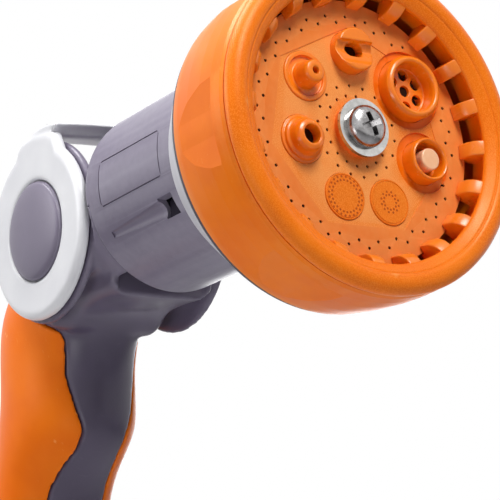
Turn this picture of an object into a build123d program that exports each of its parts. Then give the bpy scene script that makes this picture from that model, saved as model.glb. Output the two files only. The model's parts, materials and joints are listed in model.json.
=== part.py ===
from build123d import *
import math
import os

os.makedirs("parts", exist_ok=True)

# A hose spray nozzle with a seven-station turret, a thumb lever and a pistol grip.
# Lengths are millimetres. Everything is drawn with the turret axis as X (water leaves along +X),
# the thumb lever's axis parallel to Y and Z up, with x = 0 at the groove between bezel and grip ring.
# export() then moves it so that the origin is the middle of the inlet collar.

# Fits
run_gap = 0.06       # radial, shaft in its bearing
clear = 0.35         # between pieces that move past each other
seam = 0.1           # between fixed pieces that only meet

# Turret
turret_r = 36.0
turret_back = -19.4
lip_r = 29.5
lip_x = 1.1
face_x = -4.25
face_r = 28.3
face_t = 2.4
plateau_x = -4.4
plateau_r = 22.5
wall_r = 33.0
rib_count = 20
rib_w = 3.2
rib_phase = -3.7
station_count = 7
station_r = 16.6
port_r = 3.9
scallop_count = 6
scallop_phase = 3.0
scallop_depth = 0.75

# Spray nozzles: angle round the turret axis and distance from it
fan_at = (90.0, 16.9)
soaker_at = (36.5, 17.7)
cone_at = (-17.5, 17.1)
centre_mark_at = (-66.1, 16.0)
ring_mark_at = (-108.7, 15.2)
jet_at = (-167.1, 14.6)
mist_at = (138.7, 15.8)

# Spindle, washer and screw
spindle_r = 4.0
hub_r = 6.4
washer_r = 6.2
washer_t = 0.85
screw_r = 4.55

# Detent
detent_at = 21.0
ball_r = 2.5

# Barrel
barrel_z = 5.45
barrel_r = 21.2
barrel_wall = 2.2
barrel_rear = -79.2
barrel_rear_fillet = 4.5
scoop_gap = 1.0      # round the cheeks and lever, where the shell is scooped out
barrel_front = -24.0
collar_rear = -36.0
collar_rear_r = 25.1
collar_rear_z = 2.2
collar_front = -21.2
collar_front_r = 34.0

# Lever pivot
pivot_x = -98.7
pivot_z = 3.5
drum_r = 15.3
drum_half = 16.3
cheek_r = 21.4
cheek_in = 16.3
cheek_out = 18.55
ring_r = 20.7
ring_left_r = 18.0   # the left ring is the smaller of the two
ring_in = 18.9
ring_out = 21.5
cap_r = 11.6
cap_out = 22.1
spool_r = 9.0
bore_r = 3.6

# Handle: forward and rear reach from its axis, and half width, at distances down from the pivot
tilt = 30.0
handle_rows = (
    (3.0, 13.5, 14.0, 13.6), (12.0, 11.0, 23.5, 14.0), (21.0, 9.4, 29.8, 14.5), (28.0, 9.8, 31.4, 14.8),
    (36.0, 12.6, 29.4, 15.0), (43.5, 15.1, 25.8, 15.0), (52.0, 12.0, 21.6, 14.9), (61.0, 8.9, 18.6, 14.7),
    (69.0, 9.6, 17.4, 14.6), (78.0, 11.8, 17.0, 14.5), (87.0, 11.2, 16.6, 14.3), (96.0, 9.8, 16.6, 14.2),
    (106.0, 11.0, 17.0, 14.4), (117.0, 13.6, 17.6, 14.8),
)
# Half width of the spine between the grips, at distances down from the pivot
spine_rows = (
    (-5.0, 14.6), (16.0, 14.6), (20.0, 13.4), (22.2, 11.2), (24.4, 9.8), (28.0, 9.3), (33.0, 9.0),
    (38.5, 7.6), (43.5, 5.8), (48.0, 5.6), (54.0, 6.6), (61.0, 7.4), (70.0, 7.5), (150.0, 7.4),
)
skin = 2.8
grip_top_r = 22.9
grip_end = 109.6
neck_front = -75.2
neck_top = 3.0
neck_half = 17.8     # the throat runs into the cheeks up to here, inside the lever's rings
tube_r = 5.0
tube_bore = 3.7

# Inlet plug
inlet_bore = 4.7
collar_land_r = 8.75
collar_land = (117.6, 125.6)
plug_end = 140.0
oring_at = 135.0

ball_x = collar_front - 0.15 - ball_r
seat_x = face_x - face_t
down = Vector(-math.sin(math.radians(tilt)), 0, -math.cos(math.radians(tilt)))
forward = Vector(math.cos(math.radians(tilt)), 0, -math.sin(math.radians(tilt)))
pivot = Vector(pivot_x, 0, pivot_z)
origin = pivot + down * (sum(collar_land) / 2)
x_axis = Axis((0, 0, 0), (1, 0, 0))


def export(shape, node):
    export_step(shape.moved(Location(-origin)), "parts/" + node + ".step")


def rod(r, x0, x1, y=0.0, z=0.0):
    """A cylinder along X."""
    return Pos((x0 + x1) / 2, y, z) * Rot(0, 90, 0) * Cylinder(r, x1 - x0)


def tube(r_out, r_in, x0, x1, y=0.0, z=0.0):
    return rod(r_out, x0, x1, y, z) - rod(r_in, x0 - 1, x1 + 1, y, z)


def axle(r, y0, y1, x=pivot_x, z=pivot_z):
    """A cylinder along Y."""
    return Pos(x, (y0 + y1) / 2, z) * Rot(90, 0, 0) * Cylinder(r, y1 - y0)


def post(r, s0, s1):
    """A cylinder along the handle's axis."""
    return Plane(origin=pivot + down * ((s0 + s1) / 2), x_dir=forward, z_dir=down) * Cylinder(r, s1 - s0)


def spun(points):
    """A solid of revolution about X from (x, radius) points."""
    return revolve(make_face(Polyline(*[(x, r) for x, r in points], close=True)), x_axis)


def posted(points):
    """A solid of revolution about the handle's axis from (distance, radius) points."""
    face = make_face(Polyline(*[(r, s) for s, r in points], close=True))
    solid = revolve(Plane.XZ * face, Axis.Z)
    return Plane(origin=pivot, x_dir=forward, z_dir=down) * solid


def stub(at, r, x0, x1):
    """A cylinder along X standing on the turret at (angle, radius)."""
    y = at[1] * math.cos(math.radians(at[0]))
    z = at[1] * math.sin(math.radians(at[0]))
    return rod(r, x0, x1, y, z)


def stations():
    return [(90 + i * 360 / station_count, station_r) for i in range(station_count)]


def side_profile(points, y0, y1):
    """A prism across Y from an outline of (x, z) points."""
    face = make_face(Polyline(*[(x, 0, z) for x, z in points], close=True))
    return extrude(face.moved(Location((0, y1, 0))), y1 - y0, (0, -1, 0))


# ---- turret ----

def bezel():
    rim = spun([
        (0.15, 31.2), (0.15, 35.8), (0.4, 36.05), (1.0, 36.1), (1.9, 35.8), (2.7, 35.1), (3.2, 34.2),
        (3.3, 33.4), (3.1, 31.9), (2.6, 30.8), (1.9, 29.9), (lip_x, lip_r), (0.2, 29.6), (-0.2, 30.4),
    ])
    spigot = spun([(-5.6, 31.9), (-5.6, wall_r - seam), (0.6, wall_r - seam), (0.6, 31.2), (-0.6, 31.2)])
    rib = side_profile([
        (face_x, 26.7), (-1.6, 27.1), (-0.6, 27.6), (0.2, 28.3), (0.8, 29.2), (1.3, 30.4),
        (0.4, 32.4), (-5.4, 32.4), (-5.4, face_r + seam), (face_x, face_r + seam),
    ], -rib_w / 2, rib_w / 2)
    rib = fillet([e for e in rib.edges() if e.center().Z < 29.9 and abs(abs(e.center().Y) - rib_w / 2) < 1e-6
                  and e.center().X > face_x + 0.5], 0.6)
    ring = rim + spigot
    return ring + [Rot(rib_phase - 90 + i * 360 / rib_count, 0, 0) * rib for i in range(rib_count)]


def grip_ring():
    outer = [(turret_back, 34.8), (-17.5, 35.15), (-13.0, 35.75), (-8.0, 36.2), (-4.0, 36.3), (-1.0, 36.15),
             (-0.15, 35.8)]
    shell = spun([(-0.15, 33.4), (-0.9, wall_r), (turret_back + 1.5, wall_r), (turret_back, 32.2)] + outer)
    cutter = Pos(-13.2, 0, 0) * Box(18.6, 22.0, 30.0)
    cutter = fillet(cutter.edges().filter_by(Axis.Z), 3.5)
    scallop = Pos(0, 0, turret_r + 14.15) * cutter - rod(turret_r - scallop_depth, -30, 2)
    turns = [Rot(scallop_phase + 90 + i * 360 / scallop_count, 0, 0) for i in range(scallop_count)]
    return shell - [t * scallop for t in turns]


def face_plate():
    disc = rod(face_r, face_x - face_t, face_x)
    disc = disc + rod(hub_r, turret_back + 0.5, face_x - 1)
    heptagon = RegularPolygon(plateau_r, station_count)
    recess = Rot(90, 0, 0) * Pos(plateau_x, 0, 0) * Rot(0, 90, 0) * Rot(0, 0, 90) * extrude(heptagon, 2)
    disc = disc - recess
    disc = disc + rod(washer_r - 0.5, plateau_x - 1, -2.95)
    for at, r in ((soaker_at, 8.5), (cone_at, 6.6)):
        disc = disc - stub(at, r, plateau_x - 0.3, 0)
    for at, r in seats():
        disc = disc - stub(at, r + seam / 2, -8, 0)
    holes = [stub((6 + 12 * i, 24.9), 0.36, -8, 0) for i in range(30)]
    holes += [stub((12 * i, 23.45), 0.36, -8, 0) for i in range(30) if clear_of_cone(12 * i)]
    holes += [stub((4 + 20 * i, 7.6), 0.36, -8, 0) for i in range(18)]
    holes += [stub((14 + 20 * i, 9.8), 0.36, -8, 0) for i in range(18) if 14 + 20 * i not in (34,)]
    return disc - holes - rod(spindle_r + run_gap, turret_back - 1, 0)


def clear_of_cone(angle):
    """The cone nozzle's and the soaker's collars cover a few places of the inner row."""
    x, y = 23.45 * math.cos(math.radians(angle)), 23.45 * math.sin(math.radians(angle))
    for at, r in ((soaker_at, 7.0), (cone_at, 5.0)):
        ax, ay = at[1] * math.cos(math.radians(at[0])), at[1] * math.sin(math.radians(at[0]))
        if math.hypot(x - ax, y - ay) < r + 0.9:
            return False
    return True


def seats():
    return ((fan_at, 4.7), (soaker_at, 6.95), (cone_at, 4.8), (jet_at, 5.2), (mist_at, 5.35),
            (centre_mark_at, 4.95), (ring_mark_at, 4.95))


def on_station(solid, at):
    y = at[1] * math.cos(math.radians(at[0]))
    z = at[1] * math.sin(math.radians(at[0]))
    return Pos(0, y, z) * solid


def fan_nozzle():
    top = -1.2
    body = rod(4.7, seat_x, top)
    body = fillet(body.faces().sort_by(Axis.X)[-1].edges(), 0.5)
    slot = side_profile([(top + 1, 1.95), (top - 1.0, 1.6), (top - 1.5, 0.0), (top - 0.6, -2.4),
                         (top, -3.4), (top + 1, -3.4)], -6, 6)
    hole = Pos(-5, 0, 0) * Rot(0, 90, 0) * extrude(SlotOverall(4.6, 3.0, rotation=90), 12, both=True)
    return on_station(body - slot - hole, fan_at)


def mist_nozzle():
    disc = rod(5.35, seat_x, plateau_x + 0.35)
    disc = fillet(disc.faces().sort_by(Axis.X)[-1].edges(), 0.3)
    disc = disc - tube(4.3, 2.9, plateau_x - 0.25, 0)
    boss = spun([(plateau_x - 1, 0), (plateau_x - 1, 2.9), (plateau_x + 1.0, 2.7), (plateau_x + 3.1, 2.45),
                 (plateau_x + 3.7, 2.1), (plateau_x + 3.9, 1.5), (plateau_x + 3.9, 0)])
    return on_station(disc + boss - rod(0.8, -9, 3), mist_at)


def jet_nozzle():
    disc = rod(5.2, seat_x, plateau_x + 0.35)
    disc = fillet(disc.faces().sort_by(Axis.X)[-1].edges(), 0.3)
    boss = spun([(plateau_x - 1, 0), (plateau_x - 1, 4.7), (plateau_x + 0.9, 4.5), (plateau_x + 1.3, 3.9),
                 (plateau_x + 2.6, 3.6), (plateau_x + 3.4, 3.1), (plateau_x + 3.75, 2.4),
                 (plateau_x + 3.75, 0)])
    return on_station(disc + boss - rod(2.0, -9, 3), jet_at)


def soaker_cup():
    cup = spun([(seat_x, 0), (seat_x, 6.95), (-2.0, 6.9), (-1.35, 6.5), (-1.1, 6.0), (-1.3, 5.5),
                (-1.9, 5.25), (-4.8, 5.1), (-4.8, 0)])
    holes = [rod(1.2, -9, 3)]
    holes += [rod(1.2, -9, 3, 3.5 * math.cos(math.radians(a)), 3.5 * math.sin(math.radians(a)))
              for a in range(30, 390, 60)]
    return on_station(cup - holes, soaker_at)


def cone_cup():
    cup = spun([(seat_x, 3.2), (seat_x, 4.8), (-1.9, 4.75), (-1.35, 4.6), (-1.1, 4.3), (-1.35, 3.95),
                (-2.0, 3.7), (-4.6, 3.7), (-5.0, 3.2)])
    return on_station(cup, cone_at)


def cone_pin():
    pin = rod(2.35, seat_x, -1.25)
    pin = fillet(pin.faces().sort_by(Axis.X)[-1].edges(), 0.35)
    vane = Pos((seat_x - 5.25) / 2, 1.6, 0) * Box(-5.25 - seat_x, 3.1, 0.9)
    return on_station(pin + [Rot(a, 0, 0) * vane for a in (30, 150, 270)], cone_at)


def mark(at):
    disc = rod(4.95, seat_x, plateau_x + 0.3)
    return on_station(fillet(disc.faces().sort_by(Axis.X)[-1].edges(), 0.2), at)


def turret_core():
    """The sealed drum that leads each port of the backplate to its nozzle."""
    drum = rod(27.4, turret_back + 0.5, seat_x - seam)
    drum = drum - rod(hub_r + seam, -30, 0)
    return drum - [stub(at, port_r, -30, 0) for at in stations()]


def backplate():
    plate = rod(34.3, turret_back - 1.3, turret_back - seam) + rod(32.0, turret_back - 0.5, turret_back + 0.4)
    plate = plate - rod(spindle_r + run_gap, -30, 0)
    plate = plate - [stub(at, port_r, -30, 0) for at in stations()]
    pockets = [stub((at[0] + 180, detent_at), 2.0, turret_back - 2, turret_back - 0.5) for at in stations()]
    return plate - pockets


def turret_washer():
    return tube(washer_r, 2.6, -1.75 - washer_t, -1.75)


def turret_screw():
    head = spun([(-1.75, 0), (-1.75, screw_r), (-0.9, screw_r), (0.0, 4.2), (0.6, 3.3), (0.9, 2.0), (1.0, 0)])
    shank = rod(2.4, -16, -1.7)
    cross = [Rot(a, 0, 0) * Pos(0.4, 0, 0) * Box(2.4, 5.0, 1.0) for a in (20, 110)]
    return head + shank - cross


# ---- barrel and valve ----

def scoops():
    """Room for the cheeks and the lever's rings at the rear of the barrel."""
    room = cheek_r + scoop_gap
    return [axle(room, -30, seam - cheek_in), axle(room, cheek_in - seam, 30)]


def below_barrel(front, margin):
    """The rear lower quarter of the barrel's outline, which belongs to the housing."""
    return Pos((front - 95) / 2, 0, neck_top - 30 + margin) * Box(front + 95, 60, 60)


def barrel():
    shell = rod(barrel_r, barrel_rear, barrel_front, 0, barrel_z)
    shell = fillet(shell.faces().sort_by(Axis.X)[0].edges(), barrel_rear_fillet)
    shell = shell - rod(barrel_r - barrel_wall, barrel_rear + 2.6, barrel_front + 1, 0, barrel_z)
    shell = shell - rod(tube_r + 0.4, barrel_rear - 2, barrel_rear + 5, 0, pivot_z)
    shell = shell - scoops() - below_barrel(neck_front + seam, seam)
    for side in (-1, 1):
        panel = Pos(-58.2, side * 22, 6.2) * Box(24.6, 8, 10.6)
        panel = fillet(panel.edges().filter_by(Axis.Y), 1.2)
        groove = panel - Pos(-58.2, side * 22, 6.2) * Box(24.0, 9, 10.0)
        shell = shell - (groove - rod(barrel_r - 0.35, -90, -20, 0, barrel_z))
        tail, head = Vector(-70.4, side * 18.85, -5.5), Vector(-45.4, side * 19.45, -5.85)
        arrow = Plane(origin=(tail + head) * 0.5, z_dir=head - tail) * Cone(1.0, 2.7, (head - tail).length)
        shell = shell - arrow
        shell = shell - Pos(-47.6, side * 18, -5.0) * Box(5.2, 9, 4.3)
    return shell


def collar():
    """The pale bell between barrel and turret, closed at the front by the valve plate."""
    front = Pos(collar_front, 0, 0) * Rot(0, 90, 0) * Circle(collar_front_r)
    rear = Pos(collar_rear, 0, collar_rear_z) * Rot(0, 90, 0) * Circle(collar_rear_r)
    bell = loft([rear, front], ruled=True)
    inner_front = Pos(collar_front - 2.0, 0, 0) * Rot(0, 90, 0) * Circle(collar_front_r - 3.2)
    inner_rear = Pos(collar_rear + 2.0, 0, collar_rear_z) * Rot(0, 90, 0) * Circle(collar_rear_r - 1.6)
    bell = bell - loft([inner_rear, inner_front], ruled=True)
    bell = bell - rod(barrel_r + seam, -60, barrel_front + 0.2, 0, barrel_z)
    bell = bell + rod(4.2, ball_x - 8.6, collar_front - 1, 0, -detent_at)
    bell = bell - rod(ball_r + run_gap, ball_x - 7.0, 0, 0, -detent_at)
    bell = bell - rod(spindle_r + seam, -60, 0) - rod(tube_r + 1.6, -60, 0, 0, station_r)
    return bell


def spindle():
    shaft = rod(spindle_r, -43.0, -2.65)
    foot = rod(6.6, -44.0, collar_front - 2.1) - rod(2.5, -45.0, -40.0)
    foot = foot - rod(tube_r + 1.7, -60, 0, 0, station_r)
    return shaft + foot - rod(2.45, -17.5, 0)


def outlet_seal():
    """Sits round the outlet port, just short of the spool."""
    return tube(tube_r - 0.05, bore_r, -88.0, -87.1, 0, pivot_z)


def inlet_seal():
    return post(tube_r - 0.05, 10.9, 11.9) - post(bore_r, 0, 20)


def outlet_tube():
    """Leads the water from the valve up to the top station of the turret."""
    rear, front = -87.0, -24.4
    path = FilletPolyline((rear, 0, pivot_z), (-72, 0, pivot_z), (-40, 0, station_r), (front, 0, station_r),
                          radius=14)
    start = Plane((rear, 0, pivot_z), x_dir=(0, 1, 0), z_dir=(1, 0, 0))
    pipe = sweep(start * Circle(tube_r), path) + rod(tube_r + 1.5, front - 2.6, front, 0, station_r)
    return pipe - sweep(start * Circle(tube_bore), path)


def selector_seal():
    return tube(tube_r + 1.2, tube_bore, -24.3, turret_back - 1.3 - clear, 0, station_r)


def detent_ball():
    return Pos(ball_x, 0, -detent_at) * Sphere(ball_r)


def coil(r, wire, length, turns):
    helix = Helix(pitch=length / turns, height=length, radius=r)
    return sweep(Plane(helix @ 0, z_dir=helix % 0) * Circle(wire), helix, is_frenet=True)


def detent_spring():
    length = 3.6
    return Pos(ball_x - ball_r - length - 0.45, 0, -detent_at) * Rot(0, 90, 0) * coil(1.7, 0.3, length, 4)


# ---- housing and handle ----

def handle_solid(inset=0.0):
    sections = []
    for s, front, rear, half in handle_rows:
        middle = pivot + down * s + forward * ((front - rear) / 2)
        plane = Plane(origin=middle, x_dir=forward, z_dir=down)
        sections.append(plane * Ellipse((front + rear) / 2 - inset, half - inset))
    return loft(sections)


def handle_box(u0, u1, half, s0=-5.0, s1=150.0):
    """A block in the handle's own directions."""
    middle = pivot + down * ((s0 + s1) / 2) + forward * ((u0 + u1) / 2)
    return Plane(origin=middle, x_dir=forward, z_dir=down) * Box(u1 - u0, 2 * half, s1 - s0)


def spine_block(margin=0.0, s0=-5.0):
    """A prism the width of the spine, in front of the handle's axis."""
    rows = [(s, half + margin) for s, half in spine_rows if s >= s0]
    outline = [(s, half) for s, half in rows] + [(s, -half) for s, half in reversed(rows)]
    plane = Plane(origin=pivot, x_dir=down, z_dir=forward)
    return extrude(plane * make_face(Polyline(*outline, close=True)), 30)


def neck():
    """Carries the barrel's outline on down to the drum and the spine."""
    rear = barrel_rear - seam
    outline = [
        (rear, 11.5), (-104.0, 11.5), (-112.0, -12.0), (-108.0, -16.5), (-104.0, -18.6), (-100.6, -18.4),
        (-97.6, -15.9), (-93.6, -14.9), (-88.0, -15.0), (-81.2, -15.6), (rear, -15.6),
    ]
    block = side_profile(outline, -13.6, 13.6)
    long_edges = [e for e in block.edges() if abs(abs(e.center().Y) - 13.6) < 1e-6
                  and -106 < e.center().X < rear - 1]
    block = chamfer(long_edges, 2.5)
    throat = rod(barrel_r, -93.0, neck_front, 0, barrel_z) & below_barrel(neck_front, 0)
    throat = throat - rod(barrel_r - barrel_wall, barrel_rear, -70, 0, barrel_z)
    inner = throat & Pos(-85, 0, 0) * Box(30, 2 * neck_half, 60)
    return block + inner + (throat - scoops() - Pos(-90, 0, 0) * Box(8, 60, 60))


def housing():
    core = handle_solid(skin) + (handle_solid() & spine_block())
    core = core + (handle_solid() & axle(grip_top_r - 0.2, -20, 20))
    core = core - handle_box(-40, 40, 30, grip_end + 0.1, 160)
    core = core + neck() + axle(drum_r, -drum_half, drum_half)
    for side in (-1, 1):
        cheek = axle(cheek_r, cheek_in, cheek_out)
        cheek = fillet(cheek.edges().filter_by(GeomType.CIRCLE).sort_by(Axis.Y)[0], 1.1)
        core = core + (cheek if side > 0 else mirror(cheek, Plane.XZ))
    slot = tube(barrel_r + 3, barrel_r - 8, -80.4, neck_front + 1, 0, barrel_z)
    core = core - (slot & Pos(-78, 0, -16) * Box(10, 24, 16))
    core = core - rod(tube_r + 0.02, -88.0, -70, 0, pivot_z) - rod(bore_r, -100, -80, 0, pivot_z)
    core = core - axle(spool_r + run_gap, -25, 25)
    return core - post(tube_r + 0.02, 10.8, 130) - post(bore_r, 0, 12)


def grip(side):
    shell = handle_solid() - handle_solid(skin)
    shell = shell - spine_block(seam) - axle(grip_top_r, -25, 25)
    shell = shell - handle_box(-40, 40, 30, grip_end, 160)
    half = Pos(-140, side * (25 + seam), -60) * Box(200, 50, 260)
    return shell & half


def end_cap():
    cap = handle_solid() - handle_box(-40, 40, 30, -10, grip_end + 0.2)
    cap = fillet(cap.faces().sort_by(Axis((0, 0, 0), tuple(down)))[-1].edges(), 1.6)
    return cap - post(7.9 + seam, 100, 130)


def handle_tube():
    return post(tube_r, 12.0, 110.8) - post(tube_bore, 0, 130)


def inlet_plug():
    land0, land1 = collar_land
    return posted([
        (111.0, inlet_bore), (111.0, 7.9), (land0, 7.9), (land0, collar_land_r), (land1, collar_land_r),
        (land1, 7.1), (129.4, 7.1), (129.4, 7.9), (132.0, 7.9), (132.8, 7.0),
        (133.6, 7.0), (133.6, 5.7), (136.4, 5.7), (136.4, 7.0), (138.8, 7.0), (plug_end, 6.0),
        (plug_end, inlet_bore),
    ])


def inlet_oring():
    ring = Torus(5.8 + 1.25, 1.25)
    return Plane(origin=pivot + down * oring_at, x_dir=forward, z_dir=down) * ring


def inlet_filter():
    mesh = post(inlet_bore - 0.05, 126.0, 127.2)
    at = Plane(origin=pivot + down * 126.5, x_dir=forward, z_dir=down)
    holes = [at * Pos(1.7 * i, 1.7 * j, 0) * Cylinder(0.6, 6) for i in range(-2, 3) for j in range(-2, 3)
             if i * i + j * j < 5]
    return mesh - holes


# ---- thumb lever ----

def spool():
    turn = math.radians(45)
    body = axle(spool_r, -cheek_out, cheek_out)
    for y in (-14.5, 14.5):
        body = body - (axle(spool_r + 1, y - 1.1, y + 1.1) - axle(spool_r - 1.6, y - 2, y + 2))
    out = Rot(0, 45, 0) * rod(bore_r, 0, 12)
    back = Rot(0, 45, 0) * (Plane(origin=down * 6, z_dir=down) * Cylinder(bore_r, 12))
    ways = Pos(pivot_x, 0, pivot_z) * (out + back + Sphere(bore_r))
    ends = axle(3.9, -ring_in - 0.9, ring_in + 0.9)
    return body + ends - ways - axle(1.3, 12, 30) - axle(1.3, -30, -12)


def spool_orings():
    rings = [axle(spool_r, y - 1.0, y + 1.0) - axle(spool_r - 1.55, y - 2, y + 2) for y in (-14.5, 14.5)]
    return Compound(children=rings)


def lever_plate(r):
    """The ring and arm of one side, drawn on the left."""
    arm_points = [
        (-106.6, 19.0), (-106.2, 22.6), (-104.6, 25.2), (-101.6, 26.6), (-96.0, 26.6), (-90.4, 25.4),
        (-87.6, 23.8), (-86.2, 20.4), (-88.5, 14.0), (-104.0, 14.0),
    ]
    arm = side_profile(arm_points, ring_in, ring_out)
    plate = axle(r, ring_in, ring_out) + arm
    plate = fillet(plate.faces().sort_by(Axis.Y)[-1].edges(), 1.7)
    return plate - axle(cap_r + 0.25, ring_in + 0.9, ring_out + 1) - axle(4.0, 0, 30)


def lever():
    bar_points = [
        (-98.6, 25.4), (-98.2, 26.4), (-97.0, 27.1), (-94.0, 27.4), (-89.6, 27.0), (-87.2, 26.3),
        (-87.0, 25.7), (-88.6, 25.3), (-89.2, 24.9), (-89.0, 24.3), (-89.8, 23.8), (-92.0, 23.9),
        (-97.4, 24.4),
    ]
    bow = -150.0
    rise = 1.2
    face = make_face(Polyline(*[(x, 0, z + rise) for x, z in bar_points], close=True))
    sweep_angle = math.degrees(math.asin((ring_out - 0.6) / (26 - bow)))
    bar = revolve(face, Axis((0, 0, bow), (1, 0, 0)), 2 * sweep_angle)
    bar = Pos(0, 0, bow) * Rot(-sweep_angle, 0, 0) * Pos(0, 0, -bow) * bar
    for side in (-1, 1):
        near, far = sorted((side * (cheek_in - clear), side * (ring_in - 0.1)))
        bar = bar - axle(cheek_r + clear, near, far)
    rib = Pos(-93.6, 0, 27.1 + rise) * Box(5.2, 1.1, 1.1)
    ribs = [Pos(0, 0, bow) * Rot(2.0 * i, 0, 0) * Pos(0, 0, -bow) * rib for i in range(-2, 3)]
    return bar + ribs + lever_plate(ring_left_r) + mirror(lever_plate(ring_r), Plane.XZ)


def lever_cap(side):
    face = make_face(Polyline((0, ring_in + 1.95), (cap_r, ring_in + 1.95), (cap_r, ring_out + 0.1),
                              (9.5, cap_out - 0.15), (5.5, cap_out), (0, cap_out), close=True))
    cap = Pos(pivot_x, 0, pivot_z) * revolve(face, Axis.Y)
    return cap if side > 0 else mirror(cap, Plane.XZ)


def lever_screws():
    screw = axle(3.6, ring_in + 0.95, ring_in + 1.85) + axle(1.25, 13, ring_in + 1)
    screw = screw - Pos(pivot_x, ring_in + 1.8, pivot_z) * Box(3.2, 0.8, 0.7)
    return Compound(children=[screw, mirror(screw, Plane.XZ)])


pieces = {
    "bezel": bezel, "grip_ring": grip_ring, "face_plate": face_plate,
    "fan_nozzle": fan_nozzle, "mist_nozzle": mist_nozzle, "jet_nozzle": jet_nozzle,
    "soaker_cup": soaker_cup, "cone_cup": cone_cup, "cone_pin": cone_pin,
    "centre_mark": lambda: mark(centre_mark_at), "ring_mark": lambda: mark(ring_mark_at),
    "turret_core": turret_core, "backplate": backplate,
    "turret_washer": turret_washer, "turret_screw": turret_screw,
    "barrel": barrel, "collar": collar, "spindle": spindle,
    "outlet_seal": outlet_seal, "outlet_tube": outlet_tube, "selector_seal": selector_seal,
    "detent_ball": detent_ball, "detent_spring": detent_spring,
    "housing": housing, "grip_right": lambda: grip(-1), "grip_left": lambda: grip(1), "end_cap": end_cap,
    "inlet_seal": inlet_seal, "handle_tube": handle_tube,
    "inlet_plug": inlet_plug, "inlet_oring": inlet_oring, "inlet_filter": inlet_filter,
    "valve_spool": spool, "spool_orings": spool_orings,
    "thumb_lever": lever, "lever_cap_right": lambda: lever_cap(-1), "lever_cap_left": lambda: lever_cap(1),
    "lever_screws": lever_screws,
}

for node, make in pieces.items():
    export(make(), node)
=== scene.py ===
import bpy
import bmesh
import json
from math import cos, sin, pi, radians, hypot
from mathutils import Matrix, Vector


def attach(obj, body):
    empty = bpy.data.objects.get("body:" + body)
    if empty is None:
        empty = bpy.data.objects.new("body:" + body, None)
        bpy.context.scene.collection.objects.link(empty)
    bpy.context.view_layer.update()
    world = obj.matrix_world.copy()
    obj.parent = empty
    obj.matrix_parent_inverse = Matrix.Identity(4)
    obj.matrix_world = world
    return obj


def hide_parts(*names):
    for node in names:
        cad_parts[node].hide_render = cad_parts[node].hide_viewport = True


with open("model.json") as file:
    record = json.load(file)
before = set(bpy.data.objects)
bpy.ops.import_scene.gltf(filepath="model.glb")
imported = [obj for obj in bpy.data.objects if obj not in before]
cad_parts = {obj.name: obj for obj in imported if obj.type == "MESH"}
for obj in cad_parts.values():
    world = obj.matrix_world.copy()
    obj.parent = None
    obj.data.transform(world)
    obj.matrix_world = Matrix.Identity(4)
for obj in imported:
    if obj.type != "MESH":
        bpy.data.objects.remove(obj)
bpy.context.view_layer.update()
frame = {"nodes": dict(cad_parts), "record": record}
nodes = frame["nodes"]
mm = 0.001
turretAxis = Vector((0.1595, 0.0, 0.1018087))     # on the groove between bezel and grip ring
pivotPoint = Vector((0.0608, 0.0, 0.1053087))

# the camera stands low at the front right and looks a little up
cameraSet = {
    "place": (0.50183, -0.28322, -0.04161),
    "right": (0.56842, 0.81789, -0.08921),
    "up": (0.26373, -0.07842, 0.96140),
    "back": (0.77932, -0.57001, -0.26028),
    "lens": 165.6,
}
cam = bpy.data.objects.new("camera", bpy.data.cameras.new("camera"))
bpy.context.scene.collection.objects.link(cam)
axes = [Vector(cameraSet[k]).normalized() for k in ("right", "up", "back")]
turn = Matrix((axes[0], axes[1], axes[2])).transposed().to_4x4()
cam.matrix_world = Matrix.Translation(Vector(cameraSet["place"])) @ turn
cam.data.lens = cameraSet["lens"]
cam.data.sensor_width = 36.0
cam.data.clip_start, cam.data.clip_end = 0.01, 20.0
bpy.context.scene.camera = cam

lampSet = {     # place, size in metres, power in watts
    "sideLamp": ((-0.30, -0.80, 0.45), 0.50, 3.2),
    "frontLamp": ((0.75, -0.10, 0.75), 0.40, 8.0),
    "topLamp": ((-0.05, -0.30, 0.95), 0.45, 8.0),
    "lowLamp": ((0.40, -0.70, -0.20), 0.30, 1.2),
    "backLamp": ((-0.60, 0.60, 0.35), 0.6, 3.0),
}
for lampName, (place, size, power) in lampSet.items():
    lamp = bpy.data.lights.new(lampName, "AREA")
    lamp.shape, lamp.size, lamp.energy = "DISK", size, power
    lampObject = bpy.data.objects.new(lampName, lamp)
    bpy.context.scene.collection.objects.link(lampObject)
    lampObject.location = place
    aim = Vector((0.10, 0.0, 0.09)) - Vector(place)
    lampObject.rotation_mode = "QUATERNION"
    lampObject.rotation_quaternion = aim.to_track_quat("-Z", "Y")
    lampObject.visible_camera = False

world = bpy.data.worlds.new("studio")
bpy.context.scene.world = world
world.use_nodes = True
worldTree = world.node_tree
worldTree.nodes.clear()


def node(tree, kind, **values):
    made = tree.nodes.new(kind)
    for key, value in values.items():
        setattr(made, key, value)
    return made


def link(tree, a, b):
    tree.links.new(a, b)


worldOut = node(worldTree, "ShaderNodeOutputWorld")
seen = node(worldTree, "ShaderNodeBackground")
seen.inputs["Color"].default_value = (1, 1, 1, 1)
seen.inputs["Strength"].default_value = 1.0
unseen = node(worldTree, "ShaderNodeBackground")
unseen.inputs["Color"].default_value = (0.93, 0.95, 1.0, 1)
unseen.inputs["Strength"].default_value = 0.06
rays = node(worldTree, "ShaderNodeLightPath")
either = node(worldTree, "ShaderNodeMath", operation="MAXIMUM")
worldMix = node(worldTree, "ShaderNodeMixShader")
anyRay = node(worldTree, "ShaderNodeMath", operation="MAXIMUM")
link(worldTree, rays.outputs["Is Camera Ray"], either.inputs[0])
link(worldTree, rays.outputs["Is Transmission Ray"], either.inputs[1])
link(worldTree, either.outputs[0], anyRay.inputs[0])
link(worldTree, rays.outputs["Is Glossy Ray"], anyRay.inputs[1])
link(worldTree, anyRay.outputs[0], worldMix.inputs[0])
link(worldTree, unseen.outputs[0], worldMix.inputs[1])
link(worldTree, seen.outputs[0], worldMix.inputs[2])
link(worldTree, worldMix.outputs[0], worldOut.inputs["Surface"])
bpy.context.scene.view_settings.view_transform = "Standard"
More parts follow.
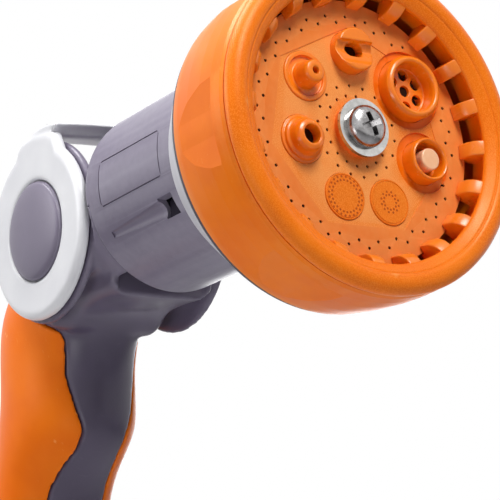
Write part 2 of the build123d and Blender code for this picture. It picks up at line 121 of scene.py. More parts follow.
print("camera and lights ready")


def socketIn(tree, name, kind="NodeSocketFloat", value=None):
    made = tree.interface.new_socket(name=name, in_out="INPUT", socket_type=kind)
    if value is not None:
        made.default_value = value


def socketOut(tree, name, kind="NodeSocketFloat"):
    tree.interface.new_socket(name=name, in_out="OUTPUT", socket_type=kind)


def newGroup(name, inputs, outputs):
    tree = bpy.data.node_groups.new(name, "ShaderNodeTree")
    for label, value in inputs.items():
        socketIn(tree, label, value=value)
    for label in outputs:
        socketOut(tree, label)
    return tree, node(tree, "NodeGroupInput"), node(tree, "NodeGroupOutput")


def maths(tree, operation, a, b=None, clamp=False):
    made = node(tree, "ShaderNodeMath", operation=operation, use_clamp=clamp)
    for i, value in enumerate((a, b)):
        if value is None:
            continue
        if isinstance(value, (int, float)):
            made.inputs[i].default_value = value
        else:
            link(tree, value, made.inputs[i])
    return made.outputs[0]


def noise(tree, coord, scale, detail=2.0, rough=0.5):
    made = node(tree, "ShaderNodeTexNoise")
    made.inputs["Detail"].default_value = detail
    made.inputs["Roughness"].default_value = rough
    if isinstance(scale, (int, float)):
        made.inputs["Scale"].default_value = scale
    else:
        link(tree, scale, made.inputs["Scale"])
    link(tree, coord, made.inputs["Vector"])
    return made.outputs["Fac"]


def ramp(tree, value, low, high):
    made = node(tree, "ShaderNodeMapRange", interpolation_type="SMOOTHSTEP")
    link(tree, value, made.inputs["Value"])
    made.inputs["From Min"].default_value = low
    made.inputs["From Max"].default_value = high
    return made.outputs["Result"]


def mouldGrainGroup():      # the fine pitting and slow cloudiness of moulded plastic
    tree, into, out = newGroup("mouldGrain", {"Grain": 0.0004, "Patch": 0.012}, ("Height", "Cloud", "Speck"))
    coord = node(tree, "ShaderNodeTexCoord").outputs["Object"]
    fine = noise(tree, coord, maths(tree, "DIVIDE", 1.0, into.outputs["Grain"]), 2.0, 0.6)
    cloud = noise(tree, coord, maths(tree, "DIVIDE", 1.0, into.outputs["Patch"]), 3.0, 0.55)
    link(tree, fine, out.inputs["Height"])
    link(tree, ramp(tree, cloud, 0.3, 0.7), out.inputs["Cloud"])
    link(tree, ramp(tree, fine, 0.44, 0.62), out.inputs["Speck"])
    return tree


def edgeWearGroup():        # paler, rubbed edges, broken up so they aren't a line
    tree, into, out = newGroup("edgeWear", {"Start": 0.52, "Full": 0.62}, ("Rub",))
    coord = node(tree, "ShaderNodeTexCoord").outputs["Object"]
    point = node(tree, "ShaderNodeNewGeometry").outputs["Pointiness"]
    broken = noise(tree, coord, 600.0, 3.0)
    shifted = maths(tree, "ADD", point, maths(tree, "MULTIPLY", maths(tree, "SUBTRACT", broken, 0.5), 0.05))
    span = maths(tree, "SUBTRACT", into.outputs["Full"], into.outputs["Start"])
    share = maths(tree, "DIVIDE", maths(tree, "SUBTRACT", shifted, into.outputs["Start"]), span, True)
    link(tree, share, out.inputs["Rub"])
    return tree


def scuffGroup():           # faint fine scratches and finger smears
    tree, into, out = newGroup("scuffs", {"Spread": 0.02}, ("Scratch", "Smear"))
    coord = node(tree, "ShaderNodeTexCoord").outputs["Object"]
    stretch = node(tree, "ShaderNodeMapping")
    stretch.inputs["Rotation"].default_value = (0.4, 0.7, 0.3)
    stretch.inputs["Scale"].default_value = (2600.0, 130.0, 900.0)
    link(tree, coord, stretch.inputs["Vector"])
    lines = noise(tree, stretch.outputs["Vector"], 1.0, 1.0)
    smear = noise(tree, coord, maths(tree, "DIVIDE", 1.0, into.outputs["Spread"]), 4.0, 0.6)
    link(tree, maths(tree, "MULTIPLY", ramp(tree, lines, 0.69, 0.74), ramp(tree, smear, 0.45, 0.6)),
         out.inputs["Scratch"])
    link(tree, ramp(tree, smear, 0.4, 0.68), out.inputs["Smear"])
    return tree


grain, wear, scuffs = mouldGrainGroup(), edgeWearGroup(), scuffGroup()


def useGroup(tree, group, **values):
    made = node(tree, "ShaderNodeGroup", node_tree=group)
    for key, value in values.items():
        made.inputs[key].default_value = value
    return made


def blendColour(tree, share, a, b):
    made = node(tree, "ShaderNodeMix", data_type="RGBA")
    link(tree, share, made.inputs["Factor"])
    for name, value in (("A", a), ("B", b)):
        socket = [i for i in made.inputs if i.name == name and i.type == "RGBA"][0]
        if isinstance(value, tuple):
            socket.default_value = value if len(value) == 4 else value + (1.0,)
        else:
            link(tree, value, socket)
    return [o for o in made.outputs if o.type == "RGBA"][0]


def startMaterial(name, rough, coat=0.0, metal=0.0, shine=0.5, tint=(1, 1, 1, 1)):
    made = bpy.data.materials.new(name)
    made.use_nodes = True
    tree = made.node_tree
    skin = tree.nodes["Principled BSDF"]
    skin.inputs["Roughness"].default_value = rough
    skin.inputs["Metallic"].default_value = metal
    skin.inputs["Coat Weight"].default_value = coat
    skin.inputs["Coat Roughness"].default_value = 0.12
    skin.inputs["Specular IOR Level"].default_value = shine
    skin.inputs["Specular Tint"].default_value = tint
    return made, tree, skin


def roughBetween(tree, skin, share, low, high):
    spread = node(tree, "ShaderNodeMapRange")
    link(tree, share, spread.inputs["Value"])
    spread.inputs["To Min"].default_value = low
    spread.inputs["To Max"].default_value = high
    link(tree, spread.outputs["Result"], skin.inputs["Roughness"])


def raised(tree, skin, height, depth):
    bump = node(tree, "ShaderNodeBump")
    bump.inputs["Strength"].default_value = 1.0
    bump.inputs["Distance"].default_value = depth
    link(tree, height, bump.inputs["Height"])
    link(tree, bump.outputs["Normal"], skin.inputs["Normal"])


def moulded(name, look):    # any moulded plastic or rubber of this tool
    made, tree, skin = startMaterial(name, look["rough"][0], look.get("coat", 0.0),
                                     shine=look.get("shine", 0.5), tint=look.get("tint", (1, 1, 1, 1)))
    pits = useGroup(tree, grain, Grain=look["grain"], Patch=look["patch"])
    rubbed = useGroup(tree, wear, Start=look.get("wearFrom", 0.53), Full=look.get("wearFull", 0.66))
    marks = useGroup(tree, scuffs, Spread=0.02)
    colour = blendColour(tree, pits.outputs["Cloud"], look["deep"], look["base"])
    if "paintedLitTop" in look:     # painted light: a lighter tone painted on the top of the piece, fading in between two heights, with painted shade below
        z = node(tree, "ShaderNodeSeparateXYZ")
        link(tree, node(tree, "ShaderNodeTexCoord").outputs["Object"], z.inputs[0])
        colour = blendColour(tree, ramp(tree, z.outputs["Z"], *look["paintedLitHeights"]), colour, look["paintedLitTop"])
    if "speck" in look:
        share = pits.outputs["Speck"]
        if "zone" in look:
            x = node(tree, "ShaderNodeSeparateXYZ")
            link(tree, node(tree, "ShaderNodeTexCoord").outputs["Object"], x.inputs[0])
            low, high = look["zone"]
            inside = maths(tree, "MULTIPLY", maths(tree, "GREATER_THAN", x.outputs["X"], low),
                           maths(tree, "LESS_THAN", x.outputs["X"], high))
            ground = blendColour(tree, inside, colour, look["ground"])
            share = maths(tree, "MULTIPLY", share, inside)
            colour = blendColour(tree, share, ground, look["speck"])
        else:
            colour = blendColour(tree, share, colour, look["speck"])
    colour = blendColour(tree, maths(tree, "MULTIPLY", rubbed.outputs["Rub"], look.get("wear", 0.5)),
                         colour, look["pale"])
    colour = blendColour(tree, maths(tree, "MULTIPLY", marks.outputs["Scratch"], look.get("scratch", 0.15)),
                         colour, look["pale"])
    link(tree, colour, skin.inputs["Base Color"])
    roughBetween(tree, skin, marks.outputs["Smear"], *look["rough"])
    raised(tree, skin, pits.outputs["Height"], look["depth"])
    return made


def brightSteel(name, look):    # plated steel, turned so its marks run round the axis
    made, tree, skin = startMaterial(name, look["rough"][0], metal=1.0)
    coord = node(tree, "ShaderNodeTexCoord").outputs["Object"]
    place = node(tree, "ShaderNodeMapping")
    place.inputs["Location"].default_value = (-turretAxis.x, -turretAxis.y, -turretAxis.z)
    link(tree, coord, place.inputs["Vector"])
    rings = node(tree, "ShaderNodeTexWave", wave_type="RINGS", rings_direction="X")
    rings.inputs["Scale"].default_value = 900.0
    rings.inputs["Distortion"].default_value = 2.0
    link(tree, place.outputs["Vector"], rings.inputs["Vector"])
    pits = useGroup(tree, grain, Grain=0.0006, Patch=0.002)
    marks = useGroup(tree, scuffs, Spread=0.004)
    colour = blendColour(tree, pits.outputs["Cloud"], look["deep"], look["base"])
    colour = blendColour(tree, maths(tree, "MULTIPLY", marks.outputs["Scratch"], 0.4), colour, (0.9, 0.9, 0.9))
    link(tree, colour, skin.inputs["Base Color"])
    roughBetween(tree, skin, marks.outputs["Smear"], *look["rough"])
    raised(tree, skin, maths(tree, "ADD", maths(tree, "MULTIPLY", rings.outputs["Fac"], 0.1),
                             pits.outputs["Height"]), 0.000004)
    return made


warm = (1.0, 0.7, 0.42, 1.0)
orangeDeep, orangeBase = (0.85, 0.158, 0.001), (0.91, 0.195, 0.001)
plastics = {
    "orange": {"deep": orangeDeep, "base": orangeBase, "pale": (0.95, 0.42, 0.12), "rough": (0.30, 0.42),
               "grain": 0.0006, "patch": 0.014, "depth": 0.00001, "shine": 0.35, "tint": warm},
    "orangeGloss": {"deep": (0.86, 0.18, 0.002), "base": (0.92, 0.22, 0.005), "pale": (0.95, 0.45, 0.14),
                    "rough": (0.24, 0.36), "grain": 0.0008, "patch": 0.008, "depth": 0.000006, "shine": 0.5},
    "markOrange": {"deep": (0.78, 0.165, 0.006), "base": (0.84, 0.19, 0.01), "pale": (0.9, 0.3, 0.05), "wear": 0.0,
                   "speck": (0.87, 0.235, 0.025), "rough": (0.42, 0.55), "grain": 0.00022, "patch": 0.01,
                   "depth": 0.00002, "shine": 0.35, "tint": warm},
    "holeShade": {"deep": (0.02, 0.006, 0.003), "base": (0.03, 0.009, 0.004), "pale": (0.04, 0.01, 0.005),
                  "rough": (0.8, 0.9), "grain": 0.0003, "patch": 0.002, "depth": 0.000005, "shine": 0.1, "wear": 0.0},
    "catchShade": {"deep": (0.010, 0.007, 0.014), "base": (0.016, 0.012, 0.021), "pale": (0.03, 0.025, 0.04),
                   "rough": (0.7, 0.8), "grain": 0.0003, "patch": 0.002, "depth": 0.000005, "shine": 0.1},
    # painted shade: the dark orange of the mark's pits stands in for the shade down each pit
    "pitShadeOrange": {"deep": (0.35, 0.045, 0.002), "base": (0.42, 0.055, 0.003), "pale": (0.6, 0.1, 0.01),
                  "rough": (0.5, 0.6), "grain": 0.0003, "patch": 0.002, "depth": 0.00001, "shine": 0.2},
    "gripOrange": {"deep": (0.83, 0.145, 0.001), "base": (0.89, 0.18, 0.002), "pale": (0.95, 0.42, 0.12),
                   "rough": (0.42, 0.55), "grain": 0.0005, "patch": 0.018, "depth": 0.00002, "shine": 0.3,
                   "tint": warm},
    "orangeGrain": {"deep": (0.85, 0.155, 0.001), "base": (0.90, 0.185, 0.002), "pale": (0.96, 0.42, 0.12),
                    "speck": (0.94, 0.23, 0.02), "rough": (0.30, 0.42), "grain": 0.00022, "patch": 0.01,
                    "depth": 0.00003, "shine": 0.35, "tint": warm},
    "faceOrange": {"deep": (0.76, 0.125, 0.001), "base": (0.82, 0.15, 0.001), "ground": (0.82, 0.18, 0.01),
                   "speck": (0.90, 0.30, 0.06), "zone": (0.15495, 0.15519), "pale": (0.95, 0.45, 0.15),
                   "rough": (0.30, 0.42), "shine": 0.35, "tint": warm, "grain": 0.00022, "patch": 0.012,
                   "depth": 0.00002},
    # painted light: a lighter copy of the housing's mauve for the barrel and lever caps, standing in for the light on
    # them
    "mauveLitCopy": {"deep": (0.14, 0.12, 0.174), "base": (0.168, 0.145, 0.204), "scratch": 0.0,
                    "pale": (0.42, 0.40, 0.47), "rough": (0.34, 0.44), "grain": 0.0005, "patch": 0.03,
                    "depth": 0.000015, "shine": 0.5},
    # painted shade: the housing's mauve is a darker copy of the same plastic, standing in for the shade on the neck
    # and spine
    "mauve": {"deep": (0.060, 0.046, 0.082), "base": (0.078, 0.062, 0.105), "scratch": 0.04,
              # painted light: the housing's top fades to a lighter tone between these heights
              "paintedLitTop": (0.155, 0.133, 0.19), "paintedLitHeights": (0.079, 0.093), "pale": (0.36, 0.34, 0.42),
              "rough": (0.34, 0.44), "grain": 0.0005, "patch": 0.02, "depth": 0.000015, "shine": 0.45},
    "pale": {"deep": (0.66, 0.66, 0.69), "base": (0.74, 0.74, 0.76), "pale": (0.88, 0.88, 0.88),
             "rough": (0.32, 0.42), "grain": 0.0006, "patch": 0.02, "depth": 0.00001, "coat": 0.1},
    "dark": {"deep": (0.03, 0.028, 0.04), "base": (0.045, 0.042, 0.058), "pale": (0.14, 0.14, 0.16),
             "rough": (0.4, 0.55), "grain": 0.0005, "patch": 0.01, "depth": 0.00002},
    "pinPale": {"deep": (0.88, 0.46, 0.24), "base": (0.93, 0.55, 0.33), "pale": (0.97, 0.75, 0.6),
                "rough": (0.25, 0.35), "grain": 0.0006, "patch": 0.004, "depth": 0.00001},
    "rubber": {"deep": (0.02, 0.02, 0.021), "base": (0.03, 0.03, 0.031), "pale": (0.08, 0.08, 0.08),
               "rough": (0.55, 0.7), "grain": 0.0003, "patch": 0.006, "depth": 0.00003},
}
skins = {name: moulded(name, look) for name, look in plastics.items()}
steels = {
    "steel": {"deep": (0.50, 0.49, 0.47), "base": (0.66, 0.65, 0.63), "rough": (0.16, 0.26)},
    # painted shade: a darker copy of the same steel for the screw head, standing in for darker reflections on it
    "screwSteelShaded": {"deep": (0.26, 0.25, 0.25), "base": (0.42, 0.41, 0.41), "rough": (0.18, 0.34)},
}
skins.update({name: brightSteel(name, look) for name, look in steels.items()})
print("materials ready")

slotSkins = {"orange": "orange", "orange_grain": "orangeGrain", "mauve_plastic": "mauve", "pale_plastic": "pale",
             "dark_plastic": "dark", "pin_plastic": "pinPale", "steel": "steel", "seal_rubber": "rubber"}
ownSkins = {"face_plate": "faceOrange", "barrel": "mauveLitCopy"}
for part in frame["record"]["subparts"]:
    owner = nodes[part["node"]]
    skinName = ownSkins.get(part["node"], slotSkins[part["material_slot"]])
    if not owner.material_slots:
        owner.data.materials.append(None)
    for held in owner.material_slots:
        held.link = "OBJECT"
        held.material = skins[skinName]


def addObject(name, mesh):
    made = bpy.data.objects.new(name, mesh)
    bpy.context.scene.collection.objects.link(made)
    return made


def smoothFaces(mesh, sharpAngle=38.0):
    mesh.polygons.foreach_set("use_smooth", [True] * len(mesh.polygons))
    mesh.set_sharp_from_angle(angle=radians(sharpAngle))


def baked(obj):             # the object's mesh with its modifiers worked in, and none left
    graph = bpy.context.evaluated_depsgraph_get()
    graph.update()
    mesh = bpy.data.meshes.new_from_object(obj.evaluated_get(graph), depsgraph=graph)
    obj.modifiers.clear()
    obj.data = mesh
    return obj


def addPiece(obj, body, slotName, *replaced):
    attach(obj, body)
    if replaced:
        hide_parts(*replaced)
    print("piece", obj.name, len(obj.data.polygons), "faces")
    return obj


def joined(nodeName):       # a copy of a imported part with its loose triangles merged
    bm = bmesh.new()
    bm.from_mesh(nodes[nodeName].data)
    bmesh.ops.remove_doubles(bm, verts=bm.verts, dist=0.000002)
    mesh = bpy.data.meshes.new(nodeName + "Copy")
    bm.to_mesh(mesh)
    bm.free()
    return mesh


def lathe(line, segments):   # turns (along, radius) points in millimetres about X into a closed skin
    bm = bmesh.new()
    rings = []
    for i in range(segments):
        a = 2 * pi * i / segments
        rings.append([bm.verts.new((x * mm, r * cos(a) * mm, r * sin(a) * mm)) for x, r in line])
    closed = line[0][1] > 0.05
    last = len(line) if closed else len(line) - 1
    for i in range(segments):
        near, far = rings[i], rings[(i + 1) % segments]
        for j in range(last):
            k = (j + 1) % len(line)
            bm.faces.new((near[j], near[k], far[k], far[j]))
    if not closed:          # the two ends run in to one point on the axis
        for j in (0, len(line) - 1):
            bmesh.ops.pointmerge(bm, verts=[ring[j] for ring in rings], merge_co=(line[j][0] * mm, 0, 0))
    bmesh.ops.recalc_face_normals(bm, faces=bm.faces)
    return bm


def onTurret(bm):
    bmesh.ops.translate(bm, vec=turretAxis, verts=bm.verts)
    return bm


def meshOf(bm, name):
    mesh = bpy.data.meshes.new(name)
    bm.to_mesh(mesh)
    bm.free()
    smoothFaces(mesh)
    return mesh


def prism(line, width, name):    # (along, radius) outline as a bar across the top of the axis
    bm = bmesh.new()
    sides = [[bm.verts.new((x * mm, y * mm, r * mm)) for x, r in line] for y in (-width / 2, width / 2)]
    bm.faces.new(sides[0])
    bm.faces.new(sides[1])
    for j in range(len(line)):
        k = (j + 1) % len(line)
        bm.faces.new((sides[0][j], sides[0][k], sides[1][k], sides[1][j]))
    bmesh.ops.recalc_face_normals(bm, faces=bm.faces)
    return meshOf(bm, name)


def pitMesh(reach):          # one small round pit of a spray mark, drawn above the axis as a short disc that carries the painted pit shade
    bm = bmesh.new()
    rim = [bm.verts.new((-4.085 * mm, 0.25 * cos(k * pi / 5) * mm, (reach + 0.25 * sin(k * pi / 5)) * mm))
           for k in range(10)]
    low = [bm.verts.new((-4.2 * mm, v.co.y, v.co.z)) for v in rim]
    bm.faces.new(rim)
    bm.faces.new(low)
    for k in range(10):
        bm.faces.new((rim[k], rim[(k + 1) % 10], low[(k + 1) % 10], low[k]))
    bmesh.ops.recalc_face_normals(bm, faces=bm.faces)
    return meshOf(bm, "pit")


def crossArm(look, turn):    # one tapered arm of the screw's cross recess
    bm = bmesh.new()
    a = radians(look["turn"] + turn)
    armReach, wide = look["armLength"], look["armWidth"] / 2
    corners = []
    for x, reach, half in ((1.6, armReach + 0.15, wide), (1.0 - look["depth"], armReach * 0.35, wide * 0.75)):
        corners.append([bm.verts.new((x * mm, (u * cos(a) - v * sin(a)) * mm, (u * sin(a) + v * cos(a)) * mm))
                        for u, v in ((-reach, -half), (reach, -half), (reach, half), (-reach, half))])
    bm.faces.new(corners[0])
    bm.faces.new(corners[1])
    for k in range(4):
        bm.faces.new((corners[0][k], corners[0][(k + 1) % 4], corners[1][(k + 1) % 4], corners[1][k]))
    bmesh.ops.recalc_face_normals(bm, faces=bm.faces)
    return meshOf(onTurret(bm), "crossCutter")


def roundTree():            # copies of a source object about an axis along X, joined to the piece itself
    tree = bpy.data.node_groups.new("aroundAxis", "GeometryNodeTree")
    tree.is_modifier = True
    face = tree.interface
    face.new_socket(name="Geometry", in_out="INPUT", socket_type="NodeSocketGeometry")
    face.new_socket(name="Source", in_out="INPUT", socket_type="NodeSocketObject")
    face.new_socket(name="Count", in_out="INPUT", socket_type="NodeSocketInt")
    for label in ("First", "Step"):
        face.new_socket(name=label, in_out="INPUT", socket_type="NodeSocketFloat")
    face.new_socket(name="Centre", in_out="INPUT", socket_type="NodeSocketVector")
    face.new_socket(name="Skin", in_out="INPUT", socket_type="NodeSocketMaterial")
    face.new_socket(name="Geometry", in_out="OUTPUT", socket_type="NodeSocketGeometry")
    into, out = node(tree, "NodeGroupInput"), node(tree, "NodeGroupOutput")
    source = node(tree, "GeometryNodeObjectInfo")
    points = node(tree, "GeometryNodePoints")
    spread = node(tree, "GeometryNodeInstanceOnPoints")
    turned = node(tree, "ShaderNodeCombineXYZ")
    moved = node(tree, "GeometryNodeTranslateInstances")
    moved.inputs["Local Space"].default_value = False
    real = node(tree, "GeometryNodeRealizeInstances")
    skin = node(tree, "GeometryNodeSetMaterial")
    both = node(tree, "GeometryNodeJoinGeometry")
    link(tree, into.outputs["Source"], source.inputs["Object"])
    link(tree, into.outputs["Count"], points.inputs["Count"])
    stepped = maths(tree, "MULTIPLY", node(tree, "GeometryNodeInputIndex").outputs[0], into.outputs["Step"])
    link(tree, maths(tree, "ADD", stepped, into.outputs["First"]), turned.inputs["X"])
    link(tree, points.outputs[0], spread.inputs["Points"])
    link(tree, source.outputs["Geometry"], spread.inputs["Instance"])
    link(tree, turned.outputs[0], spread.inputs["Rotation"])
    link(tree, spread.outputs[0], moved.inputs["Instances"])
    link(tree, into.outputs["Centre"], moved.inputs["Translation"])
    link(tree, moved.outputs[0], real.inputs[0])
    link(tree, real.outputs[0], skin.inputs["Geometry"])
    link(tree, into.outputs["Skin"], skin.inputs["Material"])
    link(tree, into.outputs["Geometry"], both.inputs[0])
    link(tree, skin.outputs[0], both.inputs[0])
    link(tree, both.outputs[0], out.inputs[0])
    return tree


aroundAxis = roundTree()


def repeatRound(obj, source, count, first, step, centre, skin):
    held = obj.modifiers.new("around", "NODES")
    held.node_group = aroundAxis
    wanted = {"Source": source, "Count": count, "First": radians(first), "Step": radians(step),
              "Centre": tuple(centre), "Skin": skin}
    for item in aroundAxis.interface.items_tree:
        if item.item_type == "SOCKET" and item.in_out == "INPUT" and item.name in wanted:
            held[item.identifier] = wanted[item.name]
    baked(obj)
    bpy.data.objects.remove(source)
    return obj


def softened(name, nodeName, skinName, look):   # moulded edges and blends, from an even skin of small faces
    obj = addObject(name, joined(nodeName))
    remesh = obj.modifiers.new("even", "REMESH")
    remesh.mode, remesh.voxel_size, remesh.adaptivity = "VOXEL", look["voxel"], 0.0
    baked(obj)
    for label, passes, inZone in (("ease", look["ease"], None), ("blend", look.get("blend", 0), look.get("zone"))):
        if not passes:
            continue
        ease = obj.modifiers.new(label, "SMOOTH")
        ease.factor, ease.iterations = 0.5, passes
        if inZone:
            group = obj.vertex_groups.new(name="zone")
            for v in obj.data.vertices:
                share = inZone(v.co)
                if share > 0:
                    group.add([v.index], share, "REPLACE")
            ease.vertex_group = "zone"
        baked(obj)
    obj.vertex_groups.clear()
    obj.data.materials.clear()
    obj.data.materials.append(skins[skinName])
    obj.data.polygons.foreach_set("use_smooth", [True] * len(obj.data.polygons))
    return obj


def neckZone(co):           # full under the drum, fading towards the cheeks and down the spine
    x, y, z = (co - pivotPoint) / mm
    barrelReach = hypot(y, z - 1.95)
    if abs(y) > 17.6 or hypot(x, z) < 12.5 or (x > 17.5 and barrelReach > 18.0):
        return 0.0
    inFront = min(1.0, max(0.0, (x + 9.0) / 8.0))
    below = min(1.0, max(0.0, (2.0 - z) / 6.0))
    above = min(1.0, max(0.0, (z + 40.0) / 12.0))
    edge = min(1.0, (17.6 - abs(y)) / 1.5)
    return inFront * below * above * edge


housingSet = {"voxel": 0.0006, "ease": 6, "blend": 45, "zone": neckZone}
shell = softened("bodyShell", "housing", "mauve", housingSet)
addPiece(shell, "body", "mauve_plastic", "housing")

gripSet = {"voxel": 0.00038, "ease": 24}
for side in ("right", "left"):
    addPiece(softened("gripPad." + side, "grip_" + side, "gripOrange", gripSet), "body", "orange", "grip_" + side)

leverSet = {"voxel": 0.00036, "ease": 14}
addPiece(softened("leverFrame", "thumb_lever", "pale", leverSet), "lever", "pale_plastic", "thumb_lever")
capSet = {"radius": 11.55, "seat": 20.9, "rim": 21.62, "crown": 23.1, "edge": 0.35}


def capDome(side):
    rimR, crown = capSet["radius"], capSet["crown"] - capSet["rim"]
    line = [(capSet["seat"], 0.02), (capSet["seat"], rimR), (capSet["rim"] - capSet["edge"], rimR),
            (capSet["rim"] - 0.08, rimR - 0.1), (capSet["rim"], rimR - capSet["edge"])]
    line += [(capSet["rim"] + crown * cos(t * pi / 2 / 14), (rimR - capSet["edge"]) * sin(t * pi / 2 / 14) + 0.02)
             for t in range(13, -1, -1)]
    bm = lathe(line, 96)
    spin = Matrix.Rotation(radians(90 * side), 4, "Z")
    bmesh.ops.transform(bm, matrix=Matrix.Translation(pivotPoint) @ spin, verts=bm.verts)
    return meshOf(bm, "capDome")


for side, label in ((-1, "right"), (1, "left")):
    dome = addObject("leverDome." + label, capDome(side))
    dome.data.materials.append(skins["mauveLitCopy"])
    addPiece(dome, "lever", "mauve_plastic", "lever_cap_" + label)
print("handle and lever ready")

bezelSet = {
    "segments": 288,
    "rim": [(0.15, 33.0), (0.15, 35.5), (0.3, 35.9), (0.7, 36.1), (1.2, 36.1), (1.8, 35.9), (2.5, 35.35),
            (2.95, 34.7), (3.2, 34.0), (3.25, 33.3), (3.1, 32.6), (2.85, 32.1), (2.7, 31.95), (2.52, 31.88),
            (2.48, 31.78), (2.5, 31.66), (2.3, 31.3), (1.95, 30.7), (1.6, 30.15), (1.3, 29.75), (1.0, 29.5),
            (0.6, 29.42), (0.1, 29.6), (-0.3, 30.2), (-0.7, 31.1), (-5.5, 31.6), (-5.5, 32.9), (-0.1, 32.9)],
    "ribCount": 20, "ribFirst": -93.7, "ribWidth": 3.2,
    "rib": [(-4.2, 26.7), (-1.6, 27.1), (-0.6, 27.6), (0.2, 28.3), (0.8, 29.2), (1.2, 30.2), (0.6, 31.6),
            (-5.2, 31.7), (-5.2, 28.5), (-4.2, 28.5)],
}
bezelBody = addObject("bezelRim", meshOf(onTurret(lathe(bezelSet["rim"], bezelSet["segments"])), "bezelRim"))
bezelBody.data.materials.append(skins["orange"])
bezelBody.data.materials.append(skins["orangeGrain"])
for face in bezelBody.data.polygons:
    x = (face.center.x - turretAxis.x) / mm
    r = hypot(face.center.y, face.center.z - turretAxis.z) / mm
    face.material_index = 1 if x > 0.9 and r > 29.6 else 0
rib = addObject("bezelRib", prism(bezelSet["rib"], bezelSet["ribWidth"], "bezelRib"))
bevel = rib.modifiers.new("round", "BEVEL")
bevel.width, bevel.segments, bevel.limit_method, bevel.angle_limit = 0.3 * mm, 3, "ANGLE", radians(50)
baked(rib)
smoothFaces(rib.data, 60)
repeatRound(bezelBody, rib, bezelSet["ribCount"], bezelSet["ribFirst"], 360 / bezelSet["ribCount"],
            turretAxis, skins["orangeGloss"])
smoothFaces(bezelBody.data, 50)
addPiece(bezelBody, "turret", "orange_grain", "bezel")

nozzleSet = {"voxel": 0.00014, "ease": 4}
nozzleSkins = {"fan_nozzle": "orangeGloss", "mist_nozzle": "orangeGloss", "jet_nozzle": "orangeGloss",
               "soaker_cup": "orangeGloss", "cone_cup": "orangeGloss", "cone_pin": "pinPale"}
for nozzle, skinName in nozzleSkins.items():
    words = nozzle.split("_")
    made = softened(words[0] + words[1].capitalize(), nozzle, skinName, nozzleSet)
    addPiece(made, "turret", "pin_plastic" if nozzle == "cone_pin" else "orange", nozzle)

markSet = {     # angle and distance from the turret axis, then rings of pits as (radius, count)
    "centre_mark": ((-66.1, 16.0), ((1.6, 12), (2.24, 12))),
    "ring_mark": ((-108.7, 15.2), ((3.4, 24), (4.15, 24))),
}
markLine = [(-4.9, 0.02), (-4.9, 4.93), (-4.3, 4.93), (-4.14, 4.85), (-4.1, 4.7), (-4.1, 4.62), (-4.22, 4.56),
            (-4.22, 4.46), (-4.1, 4.40), (-4.1, 2.0), (-4.1, 0.02)]
for markName, ((angle, reach), rings) in markSet.items():
    spot = turretAxis + Vector((0, reach * cos(radians(angle)), reach * sin(radians(angle)))) * mm
    disc = addObject(markName.replace("_", "") + "Disc", meshOf(lathe(markLine, 96), markName))
    disc.data.transform(Matrix.Translation(spot))
    disc.data.materials.append(skins["markOrange"])
    for ringRadius, count in rings:
        pit = addObject("pit", pitMesh(ringRadius))
        repeatRound(disc, pit, count, 180 / count if ringRadius in (2.24, 4.15) else 0, 360 / count, spot,
                    skins["pitShadeOrange"])
    smoothFaces(disc.data, 40)
    addPiece(disc, "turret", "orange_grain", markName)

holeSet = {     # rows of shower holes as (radius, count, first angle, depth along the axis, hole radius)
    "rows": ((24.9, 30, 6, -4.5, 0.35), (23.45, 30, 0, -4.5, 0.35), (7.6, 18, 4, -4.75, 0.35),
             (9.8, 18, 14, -4.75, 0.35)),
    "ports": ((14.6, -167.1, -3.2, 1.9), (15.8, 138.7, -2.4, 0.75), (16.9, 90.0, -4.6, 1.9)),
    "soaker": (17.7, 36.5, -5.4, 1.15, 3.5),
    "plug": 0.35,       # how deep each painted-shade plug is
}


def shade(reach, x, r):      # painted shade: a short dark plug just inside a hole, standing in for the shade down the hole
    bm = bmesh.new()
    depth = holeSet["plug"] * mm
    place = Matrix.Translation((x * mm - depth / 2, 0, reach * mm)) @ Matrix.Rotation(pi / 2, 4, "Y")
    bmesh.ops.create_cone(bm, cap_ends=True, segments=16, radius1=r * mm, radius2=r * mm, depth=depth, matrix=place)
    return addObject("shade", meshOf(bm, "shade"))


# painted shade: dark plugs in the shower holes, nozzle bores and soaker holes
holes = addObject("showerShade", bpy.data.meshes.new("showerShade"))
for reach, count, first, x, r in holeSet["rows"]:
    repeatRound(holes, shade(reach, x, r), count, first - 90, 360 / count, turretAxis, skins["holeShade"])
for reach, angle, x, r in holeSet["ports"]:
    repeatRound(holes, shade(reach, x, r), 1, angle - 90, 360, turretAxis, skins["holeShade"])
reach, angle, x, r, spread = holeSet["soaker"]
spot = turretAxis + Vector((0, reach * cos(radians(angle)), reach * sin(radians(angle)))) * mm
repeatRound(holes, shade(spread, x, r), 6, 30, 60, spot, skins["holeShade"])
repeatRound(holes, shade(0, x, r), 1, 0, 360, spot, skins["holeShade"])
addPiece(holes, "turret", "dark_plastic")

# painted shade: a dark box just inside the catch opening on each side of the barrel, standing in for the shade in the
# hole
catchShadeBoxSet = {"at": (-47.6, -5.0), "size": (5.15, 4.25), "outer": 16.4, "thick": 1.2, "round": 0.25}
for side, label in ((-1, "right"), (1, "left")):
    bm = bmesh.new()
    x, z = catchShadeBoxSet["at"]
    middle = turretAxis + Vector((x, side * (catchShadeBoxSet["outer"] - catchShadeBoxSet["thick"] / 2), z)) * mm
    sides = (catchShadeBoxSet["size"][0], catchShadeBoxSet["thick"], catchShadeBoxSet["size"][1], 1.0)
    bmesh.ops.create_cube(bm, size=mm, matrix=Matrix.Translation(middle) @ Matrix.Diagonal(sides))
    bmesh.ops.bevel(bm, geom=list(bm.edges), offset=catchShadeBoxSet["round"] * mm, segments=3, affect="EDGES")
    bmesh.ops.recalc_face_normals(bm, faces=bm.faces)
    shadeBox = addObject("barrelCatch." + label, meshOf(bm, "barrelCatch"))
    shadeBox.data.materials.append(skins["catchShade"])
    addPiece(shadeBox, "body", "dark_plastic")

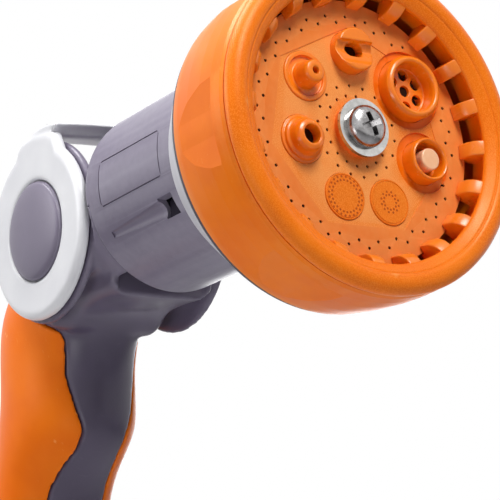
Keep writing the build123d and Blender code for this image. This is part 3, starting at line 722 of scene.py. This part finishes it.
screwSet = {"head": [(-1.75, 0.02), (-1.75, 4.45), (-1.65, 4.55), (-1.0, 4.55), (-0.75, 4.48), (-0.35, 4.32),
                     (0.0, 4.05), (0.35, 3.6), (0.62, 3.05), (0.82, 2.4), (0.95, 1.6), (1.0, 0.8), (1.0, 0.02)],
            "turn": 20.0, "armWidth": 1.35, "armLength": 3.0, "depth": 2.3}
screwHead = addObject("turretScrewHead", meshOf(onTurret(lathe(screwSet["head"], 128)), "turretScrewHead"))
for turn in (0, 90):
    cutter = addObject("crossCutter", crossArm(screwSet, turn))
    cut = screwHead.modifiers.new("cross", "BOOLEAN")
    cut.object, cut.operation, cut.solver = cutter, "DIFFERENCE", "EXACT"
    baked(screwHead)
    bpy.data.objects.remove(cutter)
screwHead.data.materials.clear()
screwHead.data.materials.append(skins["screwSteelShaded"])
smoothFaces(screwHead.data, 30)
addPiece(screwHead, "body", "steel", "turret_screw")
print("turret ready")

floorSet = {"height": -0.25, "size": 4.0, "glow": 0.7}
floorMesh = bpy.data.meshes.new("floor")
h = floorSet["size"] / 2
floorMesh.from_pydata([(-h, -h, floorSet["height"]), (h, -h, floorSet["height"]), (h, h, floorSet["height"]),
                       (-h, h, floorSet["height"])], [], [(0, 1, 2, 3)])
floor = addObject("floor", floorMesh)
floorSkin, floorTree, floorLook = startMaterial("floorPaper", 0.7)
floorNoise = noise(floorTree, node(floorTree, "ShaderNodeTexCoord").outputs["Object"], 60.0, 4.0)
paper = blendColour(floorTree, floorNoise, (0.80, 0.80, 0.80), (0.84, 0.84, 0.84))
floorSeen = node(floorTree, "ShaderNodeLightPath").outputs["Is Camera Ray"]
link(floorTree, blendColour(floorTree, floorSeen, (0.55, 0.55, 0.56), paper), floorLook.inputs["Base Color"])
floorOut = floorTree.nodes["Material Output"]
glow = node(floorTree, "ShaderNodeEmission")
glow.inputs["Color"].default_value = (0.86, 0.86, 0.86, 1)
clear = node(floorTree, "ShaderNodeBsdfTransparent")
lit, sided = node(floorTree, "ShaderNodeMixShader"), node(floorTree, "ShaderNodeMixShader")
link(floorTree, maths(floorTree, "MULTIPLY", floorSeen, floorSet["glow"]), lit.inputs[0])
link(floorTree, floorLook.outputs[0], lit.inputs[1])
link(floorTree, glow.outputs[0], lit.inputs[2])
link(floorTree, node(floorTree, "ShaderNodeNewGeometry").outputs["Backfacing"], sided.inputs[0])
link(floorTree, lit.outputs[0], sided.inputs[1])
link(floorTree, clear.outputs[0], sided.inputs[2])
link(floorTree, sided.outputs[0], floorOut.inputs["Surface"])
floor.data.materials.append(floorSkin)
